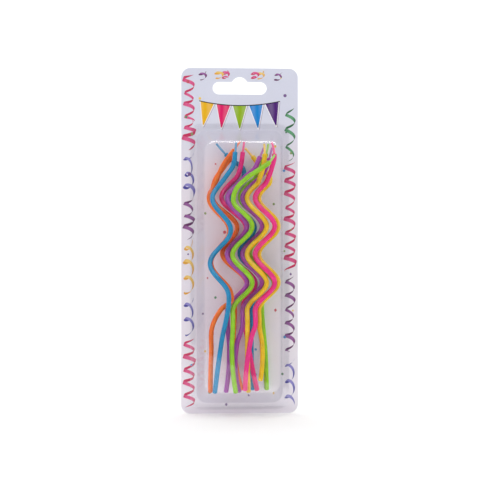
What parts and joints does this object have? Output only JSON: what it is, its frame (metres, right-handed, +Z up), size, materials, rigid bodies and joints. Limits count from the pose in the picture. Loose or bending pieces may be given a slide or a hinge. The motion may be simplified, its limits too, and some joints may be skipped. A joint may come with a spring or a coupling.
{
  "type": "hang pack of spiral birthday candles",
  "caption": "Card hang pack with a clear peel-off blister over a nest of thin coiled wax birthday candles in mixed bright colours, each with its own wick.",
  "frame": {"origin": "top of the hang slot, where the peg bears, halfway through the card's thickness", "axes": "+Z up as the pack hangs, +X to the right seen from the front, -Y out of the front (blister) side"},
  "size_m": [0.0692, 0.0253, 0.2043],
  "materials": {
    "card_board": "printed and varnished",
    "clear_film": "clear gloss",
    "wax_orange": "satin wax",
    "wick_orange": "braided cotton, waxed",
    "wax_blue": "satin wax",
    "wick_blue": "braided cotton, waxed",
    "wax_purple": "satin wax",
    "wick_purple": "braided cotton, waxed",
    "wax_green": "satin wax",
    "wick_green": "braided cotton, waxed",
    "wax_pink": "satin wax",
    "wick_pink": "braided cotton, waxed",
    "wax_yellow": "satin wax",
    "wick_yellow": "braided cotton, waxed"
  },
  "bodies": {
    "card": {"backing_card": "card_board"},
    "blister": {"blister": "clear_film"},
    "candle_orange_front": {"wax_orange_front": "wax_orange", "wick_orange_front": "wick_orange"},
    "candle_blue_front": {"wax_blue_front": "wax_blue", "wick_blue_front": "wick_blue"},
    "candle_orange_back": {"wax_orange_back": "wax_orange", "wick_orange_back": "wick_orange"},
    "candle_purple_left": {"wax_purple_left": "wax_purple", "wick_purple_left": "wick_purple"},
    "candle_blue_back": {"wax_blue_back": "wax_blue", "wick_blue_back": "wick_blue"},
    "candle_green_front": {"wax_green_front": "wax_green", "wick_green_front": "wick_green"},
    "candle_pink_back": {"wax_pink_back": "wax_pink", "wick_pink_back": "wick_pink"},
    "candle_purple_right": {"wax_purple_right": "wax_purple", "wick_purple_right": "wick_purple"},
    "candle_yellow_front": {"wax_yellow_front": "wax_yellow", "wick_yellow_front": "wick_yellow"},
    "candle_green_back": {"wax_green_back": "wax_green", "wick_green_back": "wick_green"},
    "candle_pink_front": {"wax_pink_front": "wax_pink", "wick_pink_front": "wick_pink"},
    "candle_yellow_back": {"wax_yellow_back": "wax_yellow", "wick_yellow_back": "wick_yellow"}
  },
  "joints": [
    {"name": "blister_peel", "type": "hinge", "parent": "card", "child": "blister", "pos_m": [0, -0.0007, -0.0276], "axis": [-1, 0, 0], "range_deg": [0, 110]},
    {"name": "purple_left_play", "type": "slide", "parent": "card", "child": "candle_purple_left", "axis": [0, 0, 1], "range_m": [0, 0.002]},
    {"name": "orange_front_play", "type": "slide", "parent": "card", "child": "candle_orange_front", "axis": [0, 0, 1], "range_m": [0, 0.002]},
    {"name": "blue_front_play", "type": "slide", "parent": "card", "child": "candle_blue_front", "axis": [0, 0, 1], "range_m": [0, 0.002]},
    {"name": "orange_back_play", "type": "slide", "parent": "card", "child": "candle_orange_back", "axis": [0, 0, 1], "range_m": [0, 0.002]},
    {"name": "blue_back_play", "type": "slide", "parent": "card", "child": "candle_blue_back", "axis": [0, 0, 1], "range_m": [0, 0.002]},
    {"name": "green_front_play", "type": "slide", "parent": "card", "child": "candle_green_front", "axis": [0, 0, 1], "range_m": [0, 0.002]},
    {"name": "pink_back_play", "type": "slide", "parent": "card", "child": "candle_pink_back", "axis": [0, 0, 1], "range_m": [0, 0.002]},
    {"name": "purple_right_play", "type": "slide", "parent": "card", "child": "candle_purple_right", "axis": [0, 0, 1], "range_m": [0, 0.002]},
    {"name": "yellow_front_play", "type": "slide", "parent": "card", "child": "candle_yellow_front", "axis": [0, 0, 1], "range_m": [0, 0.002]},
    {"name": "green_back_play", "type": "slide", "parent": "card", "child": "candle_green_back", "axis": [0, 0, 1], "range_m": [0, 0.002]},
    {"name": "pink_front_play", "type": "slide", "parent": "card", "child": "candle_pink_front", "axis": [0, 0, 1], "range_m": [0, 0.002]},
    {"name": "yellow_back_play", "type": "slide", "parent": "card", "child": "candle_yellow_back", "axis": [0, 0, 1], "range_m": [0, 0.002]}
  ],
  "couplings": [
    {"joint": "orange_front_play", "follows": "purple_left_play", "ratio": 1},
    {"joint": "blue_front_play", "follows": "purple_left_play", "ratio": 1},
    {"joint": "orange_back_play", "follows": "purple_left_play", "ratio": 1},
    {"joint": "blue_back_play", "follows": "purple_left_play", "ratio": 1},
    {"joint": "green_front_play", "follows": "purple_left_play", "ratio": 1},
    {"joint": "pink_back_play", "follows": "purple_left_play", "ratio": 1},
    {"joint": "purple_right_play", "follows": "purple_left_play", "ratio": 1},
    {"joint": "yellow_front_play", "follows": "purple_left_play", "ratio": 1},
    {"joint": "green_back_play", "follows": "purple_left_play", "ratio": 1},
    {"joint": "pink_front_play", "follows": "purple_left_play", "ratio": 1},
    {"joint": "yellow_back_play", "follows": "purple_left_play", "ratio": 1}
  ]
}
